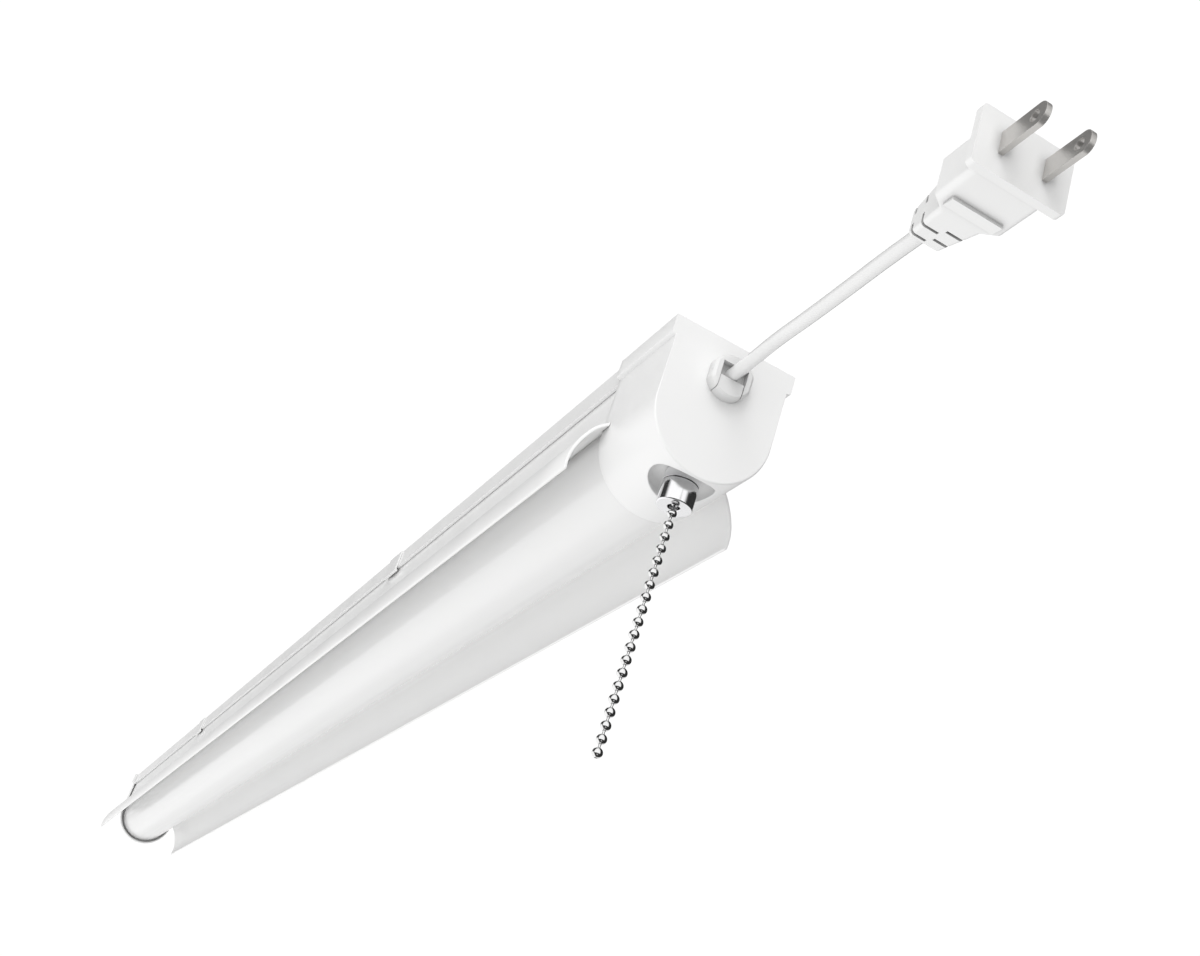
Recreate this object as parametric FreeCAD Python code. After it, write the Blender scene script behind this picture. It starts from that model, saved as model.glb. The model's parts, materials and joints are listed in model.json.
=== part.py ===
import FreeCAD, Part
import math
import os

# Hanging shop light: a long white extruded housing with a translucent U-shaped
# diffuser, two curved reflector wings, end caps, two mounting clips, a short
# cord with a flat two-blade plug, and a pull-chain switch.
# Frame: millimetres, +X towards the cord end, +Z up, z = 0 is the flat top
# that goes against the ceiling, x = 0 is halfway along the light.

V = FreeCAD.Vector
X, Y, Z = V(1, 0, 0), V(0, 1, 0), V(0, 0, 1)

# ---------------------------------------------------------------- dimensions
LENGTH = 914.4                 # over both end caps
X_NEAR = LENGTH / 2            # outer face of the cord-end cap
X_FAR = -LENGTH / 2            # outer face of the far cap
NEAR_CAP_DEPTH = 38.6
FAR_CAP_DEPTH = 5.4
X_NC = X_NEAR - NEAR_CAP_DEPTH     # rim of the cord-end cap
X_FC = X_FAR + FAR_CAP_DEPTH       # rim of the far cap
CAP_HALF = 20.0                # straight sides of the caps
CAP_TOP_HALF = 21.45           # top flange of the caps
CAP_TOP_DROP = 6.45
CAP_CHAMFER_Z = -6.85
CAP_R = 20.0                   # round bottom of the caps
Z_C = -27.7                    # centre of all the round bottoms
CAP_WALL = 1.5
CAP_END_WALL = 2.0
SLEEVE_IN = 19.2               # inside half width at the caps' rims
SLEEVE_LEN = 5.6
LID_T = 1.6
LID_HALF = 19.7
LID_FLANGE_IN = 18.5
LID_FLANGE_Z = -7.8
CH_OUT = 18.2                  # housing channel side walls
CH_IN = 17.0
CH_Z0 = -23.5
WEB_TOP, WEB_BOT = -15.0, -16.2
X_CH0, X_CH1 = X_FAR + CAP_END_WALL, X_NC + SLEEVE_LEN - 0.2
DIF_R = 17.6                   # diffuser, outside radius
DIF_T = 1.5
DIF_LEG_OUT, DIF_LEG_TOP, DIF_STEP_Z = 16.9, -19.5, -23.6
WING_T = 1.0
WING_X1 = X_NC + 5.6
WING_X0 = X_FC - 1.5
# outside of the right wing, (y, z), from the root flange to the hem
WING = [(19.2, -20.0), (19.2, -22.9), (19.32, -23.7), (19.65, -24.6), (20.2, -25.4), (21.3, -26.35),
        (22.4, -27.2), (23.4, -28.15), (24.4, -29.2), (25.75, -31.2), (27.0, -33.5), (28.0, -35.6),
        (28.8, -37.8), (29.35, -39.6), (29.7, -41.5), (29.87, -43.0), (29.9, -44.5), (29.78, -46.0),
        (29.5, -47.3)]
CLIP_X = (188.0, -213.5)       # centres of the two mounting clips
CLIP_W = 15.8
CLIP_T = 0.6
CLIP_ARM_IN, CLIP_ARM_OUT = 19.75, 20.35
CLIP_Z0 = -9.8
CLIP_HOLE_R = 2.25
BUSH_Z = -13.2
BUSH_R = 7.2
BUSH_FLAT = 6.65
BUSH_OUT = 4.4
NECK_R, NECK_FLAT = 6.3, 5.7
KEY_HALF, KEY_TOP = 4.3, -14.5
POCKET_HALF, POCKET_TOP = 4.4, -9.7
CORD_R = 2.1
X_CORD0 = X_NEAR + 2.0         # floor of the bushing's pocket
X_CORD1 = X_NEAR + 99.0        # mouth of the plug's relief
# route of the cord, from the bushing to the plug's relief
CORD_ROUTE = [(X_CORD0, 0.0, -12.35), (X_NEAR + 13.0, 0.12, -12.1), (X_NEAR + 27.5, -0.25, -11.35),
              (X_NEAR + 46.0, 0.3, -10.98), (X_NEAR + 66.0, 0.1, -11.12), (X_NEAR + 84.0, -0.15, -11.2),
              (X_CORD1, 0.0, -11.4)]
PLUG_FACE = X_NEAR + 136.0
PLUG_Z = -11.4
BLADE_Z = -11.1
SW_X = 446.0                   # axis of the pull switch, nozzle and chain
POCKET_R = 10.3                # round recess under the cord-end cap
POCKET_FLOOR = -42.2
NOZZLE_R = 5.6
NOZZLE_Z0 = -54.0
NECK_T = 4.6                   # threaded neck of the switch
PULL = 6.0                     # travel of the pull switch
BEAD_R = 1.575
PITCH = 4.026
CHAIN_TOP = -56.0              # first bead outside the nozzle, where the chain starts to swing
N_UPPER, N_LOWER = 9, 9        # beads below the top one, and below the middle one
LED_PITCH, N_LED = 12.0, 72

os.makedirs("parts", exist_ok=True)


# ------------------------------------------------------------------- helpers
def save(name, shape):
    if isinstance(shape, (list, tuple)):
        shape = shape[0] if len(shape) == 1 else Part.Compound(list(shape))
    if not shape.isValid():
        print("INVALID", name)
    shape.exportStep("parts/%s.step" % name)
    b = shape.BoundBox
    print("%-24s %2d solids %10.1f mm3  x %7.2f %7.2f  y %7.2f %7.2f  z %7.2f %7.2f" % (
        name, len(shape.Solids), shape.Volume, b.XMin, b.XMax, b.YMin, b.YMax, b.ZMin, b.ZMax))


def box(x0, x1, y0, y1, z0, z1):
    return Part.makeBox(x1 - x0, y1 - y0, z1 - z0, V(x0, y0, z0))


def cyl(r, p, axis, h):
    return Part.makeCylinder(r, h, V(*p), axis)


def prism_x(pts, x0, x1):
    w = Part.makePolygon([V(x0, y, z) for y, z in pts] + [V(x0, pts[0][0], pts[0][1])])
    return Part.Face(w).extrude(V(x1 - x0, 0, 0))


def u_wire(x, half, r, top):
    """Flat top, straight sides, round bottom about (0, Z_C)."""
    a, b, c, d = V(x, -half, top), V(x, half, top), V(x, half, Z_C), V(x, -half, Z_C)
    e = [Part.LineSegment(a, b).toShape(), Part.LineSegment(b, c).toShape(),
         Part.Arc(c, V(x, 0, Z_C - r), d).toShape(), Part.LineSegment(d, a).toShape()]
    return Part.Wire(e)


def u_prism(half, r, top, x0, x1):
    return Part.Face(u_wire(x0, half, r, top)).extrude(V(x1 - x0, 0, 0))


def cap_wire(x, g=0.0):
    """Outline of both end caps, grown by g all round but not above z = 0."""
    p = [V(x, -CAP_TOP_HALF - g, 0), V(x, CAP_TOP_HALF + g, 0), V(x, CAP_TOP_HALF + g, -CAP_TOP_DROP - g * 0.4),
         V(x, CAP_HALF + g, CAP_CHAMFER_Z - g * 0.4), V(x, CAP_HALF + g, Z_C)]
    q = [V(x, -CAP_HALF - g, Z_C), V(x, -CAP_HALF - g, CAP_CHAMFER_Z - g * 0.4),
         V(x, -CAP_TOP_HALF - g, -CAP_TOP_DROP - g * 0.4)]
    e = [Part.LineSegment(a, b).toShape() for a, b in zip(p[:-1], p[1:])]
    e.append(Part.Arc(p[-1], V(x, 0, Z_C - CAP_R - g), q[0]).toShape())
    e += [Part.LineSegment(a, b).toShape() for a, b in zip(q[:-1], q[1:])]
    e.append(Part.LineSegment(q[-1], p[0]).toShape())
    return Part.Wire(e)


def cap_prism(x0, x1, g=0.0):
    return Part.Face(cap_wire(x0, g)).extrude(V(x1 - x0, 0, 0))


def round_face_edges(s, x, r):
    es = [e for e in s.Edges if all(abs(v.X - x) < 1e-6 for v in e.Vertexes) and e.BoundBox.XLength < 1e-6]
    return s.makeFillet(r, es)


def rrect_wire(x, hy, z0, z1, r):
    """Rounded rectangle in the plane x, half width hy, from z0 to z1."""
    e = []
    c = [(hy - r, z1 - r, 0), (-hy + r, z1 - r, 90), (-hy + r, z0 + r, 180), (hy - r, z0 + r, 270)]
    pts = []
    for cy, cz, a in c:
        for k in (0, 45, 90):
            t = math.radians(a + k)
            pts.append(V(x, cy + r * math.cos(t), cz + r * math.sin(t)))
    for i in range(4):
        e.append(Part.Arc(pts[3 * i], pts[3 * i + 1], pts[3 * i + 2]).toShape())
        e.append(Part.LineSegment(pts[3 * i + 2], pts[(3 * i + 3) % 12]).toShape())
    return Part.Wire(e)


def rrect(x0, x1, hy, z0, z1, r):
    return Part.Face(rrect_wire(x0, hy, z0, z1, r)).extrude(V(x1 - x0, 0, 0))


def tube(points, r, name=None):
    """Round tube along straight runs joined by tangent arcs."""
    p = [V(*q) for q in points]
    edges, at, length = [], p[0], 0.0
    for i in range(1, len(p) - 1):
        a, b = p[i] - p[i - 1], p[i + 1] - p[i]
        la, lb = a.Length, b.Length
        ua, ub = a.normalize(), b.normalize()
        turn = ua.getAngle(ub)
        rad = 0.45 * min(la, lb) / math.tan(turn / 2)
        t = rad * math.tan(turn / 2)
        s, e = p[i] - ua * t, p[i] + ub * t
        bis = ub - ua
        bis.normalize()
        m = p[i] + bis * (rad / math.cos(turn / 2) - rad)
        edges.append(Part.LineSegment(at, s).toShape())
        edges.append(Part.Arc(s, m, e).toShape())
        length += (s - at).Length + rad * turn
        at = e
        if name:
            print("%s arc %d: turn %.2f deg, radius %.1f mm" % (name, i, math.degrees(turn), rad))
    edges.append(Part.LineSegment(at, p[-1]).toShape())
    length += (p[-1] - at).Length
    path = Part.Wire(edges)
    prof = Part.Wire([Part.makeCircle(r, p[0], (p[1] - p[0]).normalize())])
    s = path.makePipeShell([prof], True, False)
    if name:
        print("%s length %.2f mm, volume %.2f, section x length %.2f" % (name, length, s.Volume,
                                                                        math.pi * r * r * length))
    return s.Solids[0] if s.Solids else s


def offset_open(pts, t):
    """Open (y, z) polyline moved t to its right-hand side."""
    out = []
    for i, (y, z) in enumerate(pts):
        y0, z0 = pts[max(i - 1, 0)]
        y1, z1 = pts[min(i + 1, len(pts) - 1)]
        dy, dz = y1 - y0, z1 - z0
        n = math.hypot(dy, dz)
        out.append((y + dz / n * t, z - dy / n * t))
    return out


# ------------------------------------------------------------ housing channel
wall_r = box(X_CH0, X_CH1, CH_IN, CH_OUT, CH_Z0, -LID_T)
wall_l = box(X_CH0, X_CH1, -CH_OUT, -CH_IN, CH_Z0, -LID_T)
web = box(X_CH0, X_CH1, -CH_IN, CH_IN, WEB_BOT, WEB_TOP)
channel = wall_r.fuse([wall_l, web]).removeSplitter()
BOARD_SCREWS = [-430.0, -310.0, -190.0, -70.0, 50.0, 170.0, 290.0, 400.0]
for x in BOARD_SCREWS:
    channel = channel.cut(cyl(1.4, (x, 0, WEB_BOT - 1), Z, 4))
RIVET_X = [-430.0, -308.0, -186.0, -64.0, 58.0, 180.0, 302.0, 406.0]
RIVET_Z = -21.5
for x in RIVET_X:
    channel = channel.cut(cyl(1.2, (x, -25, RIVET_Z), Y, 50))
WIRE_HOLE = (228.0, 7.5)
channel = channel.cut(cyl(2.8, (WIRE_HOLE[0], WIRE_HOLE[1], WEB_BOT - 1), Z, 4))
save("housing_channel", channel)

# ------------------------------------------------------------------ top cover
X_L0, X_L1 = X_FC + 0.3, X_NC - 0.3
lid = prism_x([(-LID_HALF, 0), (LID_HALF, 0), (LID_HALF, LID_FLANGE_Z), (LID_FLANGE_IN, LID_FLANGE_Z),
               (LID_FLANGE_IN, -LID_T), (-LID_FLANGE_IN, -LID_T), (-LID_FLANGE_IN, LID_FLANGE_Z),
               (-LID_HALF, LID_FLANGE_Z)], X_L0, X_L1)
for cx in CLIP_X:
    h = CLIP_W / 2
    lid = lid.cut(box(cx - h, cx + h, -30, 30, -CLIP_T, 1))
    lid = lid.cut(cyl(4.5, (cx, 0, -5), Z, 8))
    for s in (-1, 1):
        lid = lid.cut(box(cx - h + 1.0, cx + h - 1.0, *sorted((s * 18.0, s * 20.0)), -9.0, -4.5))
SCREWS = [(413.0, 0.0), (-446.0, 0.0)]
for sx, sy in SCREWS:
    lid = lid.cut(cyl(1.6, (sx, sy, -4), Z, 8))
    lid = lid.cut(Part.makeCone(1.6, 3.2, 1.6, V(sx, sy, -LID_T), Z))
save("top_cover", lid)

# --------------------------------------------------------------- cord-end cap
outer = cap_prism(X_NC, X_NEAR)
outer = round_face_edges(outer, X_NEAR, 0.7)
inner = u_prism(SLEEVE_IN, SLEEVE_IN, -CAP_WALL, X_NC - 1, X_NC + SLEEVE_LEN)
inner2 = u_prism(CAP_HALF - CAP_WALL, CAP_R - CAP_WALL, -CAP_WALL, X_NC + SLEEVE_LEN - 1, X_NEAR - CAP_END_WALL)
cap = outer.cut(inner.fuse(inner2))
stop = u_prism(CAP_HALF - CAP_WALL + 0.3, CAP_R - CAP_WALL + 0.3, -CAP_WALL + 0.3, X_NC + SLEEVE_LEN + 0.1,
               X_NC + SLEEVE_LEN + 1.6).cut(
    u_prism(CAP_HALF - CAP_WALL - 1.6, CAP_R - CAP_WALL - 1.6, -CAP_WALL - 1.6, X_NC, X_NEAR))
cap = cap.fuse(stop)
boss = cyl(POCKET_R + 1.3, (SW_X, 0, -48.5), Z, 48.5 + POCKET_FLOOR + 1.6).common(cap_prism(X_NC + 10, X_NEAR - 1.2))
cap = cap.fuse(boss)
# recess: upright sides, a wide round to the floor
RF = 3.4
a0 = V(SW_X, 0, POCKET_FLOOR)
a1 = V(SW_X + POCKET_R - RF, 0, POCKET_FLOOR)
am = V(SW_X + POCKET_R - RF + RF * math.sin(math.pi / 4), 0, POCKET_FLOOR - RF + RF * math.cos(math.pi / 4))
a2 = V(SW_X + POCKET_R, 0, POCKET_FLOOR - RF)
a3 = V(SW_X + POCKET_R, 0, -50)
a4 = V(SW_X, 0, -50)
rw = Part.Wire([Part.LineSegment(a0, a1).toShape(), Part.Arc(a1, am, a2).toShape(),
                Part.LineSegment(a2, a3).toShape(), Part.LineSegment(a3, a4).toShape(),
                Part.LineSegment(a4, a0).toShape()])
recess = Part.Face(rw).revolve(V(SW_X, 0, 0), Z, 360)
cap = cap.cut(Part.Solid(recess) if recess.ShapeType == "Shell" else recess)
cap = cap.cut(cyl(4.8, (SW_X, 0, -45), Z, 8))
neck_hole = cyl(NECK_R, (X_NEAR - 6, 0, BUSH_Z), X, 12).common(
    box(X_NEAR - 7, X_NEAR + 7, -NECK_FLAT, NECK_FLAT, -40, 0))
cap = cap.cut(neck_hole)
# tongue that the cover is screwed to
tongue = box(X_NC - 10.6, X_NC + SLEEVE_LEN + 1.0, -10, 10, -4.2, -LID_T).fuse(
    box(X_NC + 1.0, X_NC + SLEEVE_LEN + 1.0, -10, 10, -4.2, -1.2))
cap = cap.fuse(tongue).cut(cyl(1.3, (SCREWS[0][0], 0, -8), Z, 8))
cap = cap.removeSplitter()
save("near_end_cap", cap)

# -------------------------------------------------------------------- far cap
fouter = round_face_edges(cap_prism(X_FC, X_FAR), X_FAR, 1.0)
finner = u_prism(SLEEVE_IN, SLEEVE_IN, -CAP_WALL, X_FC + 1, X_FAR + CAP_END_WALL)
fcap = fouter.cut(finner)
ftongue = box(X_FAR + CAP_END_WALL - 0.5, X_FC + 11.0, -10, 10, -4.2, -LID_T).fuse(
    box(X_FAR + CAP_END_WALL - 0.5, X_FC - 0.2, -10, 10, -4.2, -1.2))
fcap = fcap.fuse(ftongue).cut(cyl(1.3, (SCREWS[1][0], 0, -8), Z, 8)).removeSplitter()
save("far_end_cap", fcap)

# cap screws: countersunk heads flush with the cover
scr = []
for sx, sy in SCREWS:
    s = Part.makeCone(1.5, 3.1, 1.55, V(sx, sy, -LID_T), Z).fuse(cyl(1.3, (sx, sy, -5.6), Z, 5.0))
    slot = box(sx - 2.0, sx + 2.0, sy - 0.35, sy + 0.35, -0.8, 1).fuse(
        box(sx - 0.35, sx + 0.35, sy - 2.0, sy + 2.0, -0.8, 1))
    scr.append(s.cut(slot))
save("cap_screws", scr)

# ------------------------------------------------------------------- diffuser
X_D0, X_D1 = X_CH0 + 0.2, X_CH1
dif = u_prism(DIF_R, DIF_R, DIF_STEP_Z, X_D0, X_D1)
dif = dif.fuse(box(X_D0, X_D1, -DIF_LEG_OUT, DIF_LEG_OUT, DIF_STEP_Z - 1, DIF_LEG_TOP))
dif = dif.cut(u_prism(DIF_R - DIF_T - 0.3, DIF_R - DIF_T - 0.3, DIF_LEG_TOP + 1, X_D0 - 1, X_D1 + 1))
save("diffuser", dif.removeSplitter())

# ---------------------------------------------------------------------- wings
W_IN = offset_open(WING, WING_T)
W_IN[0] = (CH_OUT, WING[0][1])
W_IN[1] = (CH_OUT, WING[1][1])
w_out = WING
prof = w_out + list(reversed(W_IN))
# the root flange stops at the caps, the blade runs on outside them
right = prism_x(prof, WING_X0, WING_X1)
right = right.cut(cap_prism(X_NC - 0.3, WING_X1 + 5, 0.15))
right = right.cut(cap_prism(WING_X0 - 5, X_FC + 0.3, 0.15))
for x in RIVET_X:
    right = right.cut(cyl(1.2, (x, 15, RIVET_Z), Y, 10))
right = max(right.Solids, key=lambda s: s.Volume)
left = right.mirror(V(0, 0, 0), Y)
save("reflector_wing_right", right)
save("reflector_wing_left", left)
riv = []
for s in (-1, 1):
    for x in RIVET_X:
        body = cyl(1.2, (x, s * CH_IN, RIVET_Z), Y * s, 19.2 - CH_IN)
        head = Part.makeSphere(3.2, V(x, s * (19.2 + 0.45 - 3.2), RIVET_Z)).common(
            box(x - 3, x + 3, *sorted((s * 19.2, s * 21.0)), RIVET_Z - 3, RIVET_Z + 3))
        riv.append(body.fuse(head))
save("reflector_rivets", riv)

# ---------------------------------------------------------------------- clips
def clip(cx):
    h = CLIP_W / 2
    s = prism_x([(-CLIP_ARM_OUT, 0), (CLIP_ARM_OUT, 0), (CLIP_ARM_OUT, CLIP_Z0), (CLIP_ARM_IN - 0.6, CLIP_Z0),
                 (CLIP_ARM_IN - 0.6, CLIP_Z0 + 0.7), (CLIP_ARM_IN, CLIP_Z0 + 1.5), (CLIP_ARM_IN, -CLIP_T),
                 (-CLIP_ARM_IN, -CLIP_T), (-CLIP_ARM_IN, CLIP_Z0 + 1.5), (-CLIP_ARM_IN + 0.6, CLIP_Z0 + 0.7),
                 (-CLIP_ARM_IN + 0.6, CLIP_Z0), (-CLIP_ARM_OUT, CLIP_Z0)], cx - h, cx + h)
    s = s.cut(cyl(CLIP_HOLE_R, (cx, 0, -3), Z, 6))
    return s


save("mounting_clip_near", clip(CLIP_X[0]))
save("mounting_clip_far", clip(CLIP_X[1]))

# ---------------------------------------------------------------- light source
bx0, bx1 = -446.0, 412.0
board = box(bx0, bx1, -12, 12, WEB_BOT - 1.6, WEB_BOT)
for x in BOARD_SCREWS:
    board = board.cut(cyl(1.5, (x, 0, -20), Z, 6))
board = board.cut(cyl(2.8, (WIRE_HOLE[0], WIRE_HOLE[1], -20), Z, 6))
save("led_board", board)
chips = []
x_led0 = (bx0 + bx1) / 2 - LED_PITCH * (N_LED - 1) / 2
for i in range(N_LED):
    x = x_led0 + i * LED_PITCH
    if min(abs(x - s) for s in BOARD_SCREWS) < 4.4:
        x += 4.4 if min((x - s) for s in BOARD_SCREWS if abs(x - s) < 4.4) >= 0 else -4.4
    chips.append(box(x - 1.4, x + 1.4, -1.75, 1.75, WEB_BOT - 2.4, WEB_BOT - 1.6))
save("led_chips", chips)
bs = []
for x in BOARD_SCREWS:
    s = cyl(1.35, (x, 0, WEB_BOT - 1.6), Z, 5.0).fuse(
        Part.makeSphere(3.2, V(x, 0, WEB_BOT - 1.6 + 1.6)).common(box(x - 4, x + 4, -4, 4, -25, WEB_BOT - 1.6)))
    bs.append(s)
save("led_board_screws", bs)

# --------------------------------------------------------------------- driver
DX0, DX1 = 246.0, 396.0
ins = box(DX0 - 6, DX1 + 8.5, -15.5, 15.5, WEB_TOP, WEB_TOP + 0.4)
for x in BOARD_SCREWS:
    ins = ins.cut(cyl(2.0, (x, 0, -18), Z, 6))
save("driver_insulator", ins)
so = []
for x in (DX0 + 5, DX1 - 5):
    for y in (-10, 10):
        so.append(cyl(2.0, (x, y, WEB_TOP + 0.4), Z, 2.2).cut(cyl(1.0, (x, y, WEB_TOP), Z, 5)))
save("driver_standoffs", so)
PCB0 = WEB_TOP + 2.6
pcb = box(DX0, DX1, -13, 13, PCB0, PCB0 + 1.6)
for x in (DX0 + 5, DX1 - 5):
    for y in (-10, 10):
        pcb = pcb.cut(cyl(1.2, (x, y, PCB0 - 1), Z, 4))
save("driver_board", pcb)
PT = PCB0 + 1.6
core = box(318, 334, -7, 7, PT, PT + 2.0).fuse([box(318, 334, -7, 7, PT + 5.6, PT + 7.6),
                                               box(323, 329, -3, 3, PT + 1.5, PT + 6.0)])
core = core.fuse([box(318, 334, 5.5, 7, PT, PT + 7.6), box(318, 334, -7, -5.5, PT, PT + 7.6)])
wind = cyl(4.9, (326, 0, PT + 2.0), Z, 3.6).cut(box(323, 329, -3, 3, PT, PT + 8))
save("driver_transformer", core.removeSplitter())
save("driver_winding", wind)
caps = [cyl(4.0, (270, -6, PT + 4.0), X, 16), cyl(4.0, (270, 6, PT + 4.0), X, 16), cyl(3.0, (352, 7, PT + 3.0), X, 12)]
save("driver_capacitors", caps)
misc = [box(296, 304, -9, -3, PT, PT + 5), box(296, 304, 3, 9, PT, PT + 5),       # film capacitors
        box(344, 350, -9, -4, PT, PT + 2.2), box(372, 379, -4, 3, PT, PT + 3.0),    # rectifier and controller
        cyl(2.4, (366, 9.2, PT + 2.4), X, 7), box(308, 313, -3, 3, PT, PT + 4.5)]    # fuse and switch transistor
save("driver_parts", misc)

# ---------------------------------------------------------------- cord bushing
def bush_outline(x0, x1, r, flat):
    return cyl(r, (x0, 0, BUSH_Z), X, x1 - x0).common(box(x0 - 1, x1 + 1, -flat, flat, -40, 5))


# head: round with a flat at each side, its front edge chamfered
HC = 0.8
HX = X_NEAR + BUSH_OUT
head = cyl(BUSH_R, (X_NEAR, 0, BUSH_Z), X, BUSH_OUT - HC).fuse(
    Part.makeCone(BUSH_R, BUSH_R - HC, HC, V(HX - HC, 0, BUSH_Z), X))
slab = Part.Face(Part.makePolygon([V(X_NEAR - 1, -BUSH_FLAT, -40), V(HX - HC, -BUSH_FLAT, -40), V(HX, HC - BUSH_FLAT, -40),
                                   V(HX, BUSH_FLAT - HC, -40), V(HX - HC, BUSH_FLAT, -40), V(X_NEAR - 1, BUSH_FLAT, -40),
                                   V(X_NEAR - 1, -BUSH_FLAT, -40)])).extrude(V(0, 0, 50))
head = head.common(slab).removeSplitter()
neck = bush_outline(X_NEAR - 12, X_NEAR, NECK_R, NECK_FLAT)
lug = bush_outline(X_NEAR - 5.2, X_NEAR - CAP_END_WALL, NECK_R + 0.7, NECK_FLAT)
whole = head.fuse([neck, lug])
pocket = box(X_CORD0, X_NEAR + 6, -POCKET_HALF, POCKET_HALF, KEY_TOP, POCKET_TOP)
cord_z = CORD_ROUTE[0][2]
bore = cyl(CORD_R, (X_NEAR - 20, 0, cord_z), X, 23)
key_zone = box(X_NEAR - 9.0, X_NEAR + 6, -KEY_HALF, KEY_HALF, -30, KEY_TOP)
body = whole.cut([pocket, bore, key_zone])
key = whole.common(key_zone).cut(bore)
key = key.common(box(X_NEAR - 9.0, X_NEAR + BUSH_OUT - 0.25, -KEY_HALF + 0.18, KEY_HALF - 0.18, -30, KEY_TOP))
save("bushing_body", max(body.Solids, key=lambda s: s.Volume))
save("bushing_key", max(key.Solids, key=lambda s: s.Volume))

# ------------------------------------------------------------------------ cord
save("power_cord", tube(CORD_ROUTE, CORD_R, "power_cord"))
save("power_cord_inner", cyl(CORD_R, (X_NEAR - 20.0, 0, cord_z), X, 20.0 + (X_CORD0 - X_NEAR)))
save("cord_crimp", cyl(CORD_R + 0.9, (X_NEAR - 17.0, 0, cord_z), X, 3.5).cut(
    cyl(CORD_R, (X_NEAR - 18.0, 0, cord_z), X, 6)))

# --------------------------------------------------------------- wire connectors
con_x = 404.0
cons = []
for y in (-7.0, 7.0):
    c = Part.makeCone(3.0, 1.9, 12.0, V(con_x + 6, y, -9.5), X)
    c = c.cut(cyl(1.0, (con_x + 5.9, y, -9.5), X, 9.0))
    cons.append(c)
save("wire_connectors", cons)
sup = []
for s in (-1, 1):
    # from the cord's stripped end to the connector
    sup.append(tube([(X_NEAR - 20.0, s * 1.0, cord_z), (X_NEAR - 23.0, s * 1.4, cord_z + 0.2),
                     (X_NEAR - 27.0, s * 9.0, -9.5), (X_NEAR - 33.0, s * 13.2, -9.0), (con_x + 10, s * 13.6, -9.2),
                     (con_x + 3, s * 11.8, -9.4), (con_x + 2.0, s * 8.6, -9.5), (con_x + 5.5, s * 7.0, -9.5)], 0.75))
save("supply_wires", sup)
bw = []
for s in (-1, 1):
    bw.append(tube([(DX1 - 8.0, s * 5.5, PT), (DX1 - 8.0, s * 5.6, PT + 2.2), (DX1 - 4.0, s * 5.8, PT + 4.2),
                    (con_x - 1.0, s * 5.4, PT + 2.0), (con_x + 2.0, s * 4.6, -9.9), (con_x + 5.8, s * 4.2, -9.8)], 0.7))
bw2 = [tube([(DX0 + 4.0, WIRE_HOLE[1] - 1.0 + k, PT), (DX0 + 3.6, WIRE_HOLE[1] - 1.0 + k, PT + 2.0),
             (DX0 - 4.0, WIRE_HOLE[1] - 1.2 + k, PT + 3.0), (WIRE_HOLE[0] + 4, WIRE_HOLE[1] - 0.9 + k, PT - 2.0),
             (WIRE_HOLE[0] - 0.1, WIRE_HOLE[1] - 1.0 + k, -14.0), (WIRE_HOLE[0], WIRE_HOLE[1] - 1.0 + k, WEB_BOT - 1.4)],
            0.6) for k in (-0.6, 1.8)]
save("board_wires", bw + bw2)

# ------------------------------------------------------------------------ plug
PX = X_NEAR


def px(a):
    return X_NEAR + a


plate = rrect(px(133.5), PLUG_FACE, 13.4, -20.4, -2.7, 1.4)
pbody = rrect(px(117.2), px(134.0), 10.0, -18.2, -4.7, 1.8)
shoulder = Part.makeLoft([rrect_wire(px(117.2), 10.0, -18.2, -4.7, 1.8), rrect_wire(px(114.2), 6.5, -17.75, -5.15, 1.5)],
                         True, True)
relief = Part.makeLoft([rrect_wire(px(114.2), 6.45, -17.7, -5.2, 1.4), rrect_wire(px(99.0), 4.7, -15.6, -7.2, 1.1)],
                       True, True)
plug = plate.fuse([pbody, shoulder, relief])
# raised finger grips below and above, steep towards the plug's face
for s, zf in ((-1, -18.2), (1, -4.7)):
    p = [V(px(117.3), -7.3, zf - s * 0.5), V(px(117.3), -7.3, zf + s * 0.5), V(px(121.3), -7.3, zf + s * 1.1),
         V(px(121.3), -7.3, zf - s * 0.5)]
    plug = plug.fuse(Part.Face(Part.makePolygon(p + [p[0]])).extrude(V(0, 14.6, 0)))
for xs, s in ((105.7, -1), (100.4, -1), (108.1, 1), (102.7, 1)):
    # each slot starts at the middle, below and above, and turns a little way round the side
    for y0, z0, z1 in ((0.4, -20.0, -14.9), (0.4, -7.9, -3.0), (3.9, -20.0, -13.0), (3.9, -9.8, -3.0)):
        plug = plug.cut(box(px(xs - 0.52), px(xs + 0.52), *sorted((s * y0, s * 8)), z0, z1))
blades = []
for y in (-6.35, 6.35):
    b = box(px(127.0), px(151.9), y - 0.76, y + 0.76, BLADE_Z - 3.175, BLADE_Z + 3.175)
    e = [q for q in b.Edges if q.BoundBox.YLength > 1.4 and abs(q.CenterOfMass.x - px(151.9)) < 1e-6]
    b = b.makeFillet(2.9, e)
    b = b.cut(cyl(1.6, (px(136 + 11.9), y - 2, BLADE_Z), Y, 4))
    blades.append(b)
plug = plug.cut(blades)
save("plug_body", max(plug.removeSplitter().Solids, key=lambda s: s.Volume))
save("plug_blades", blades)

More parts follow.
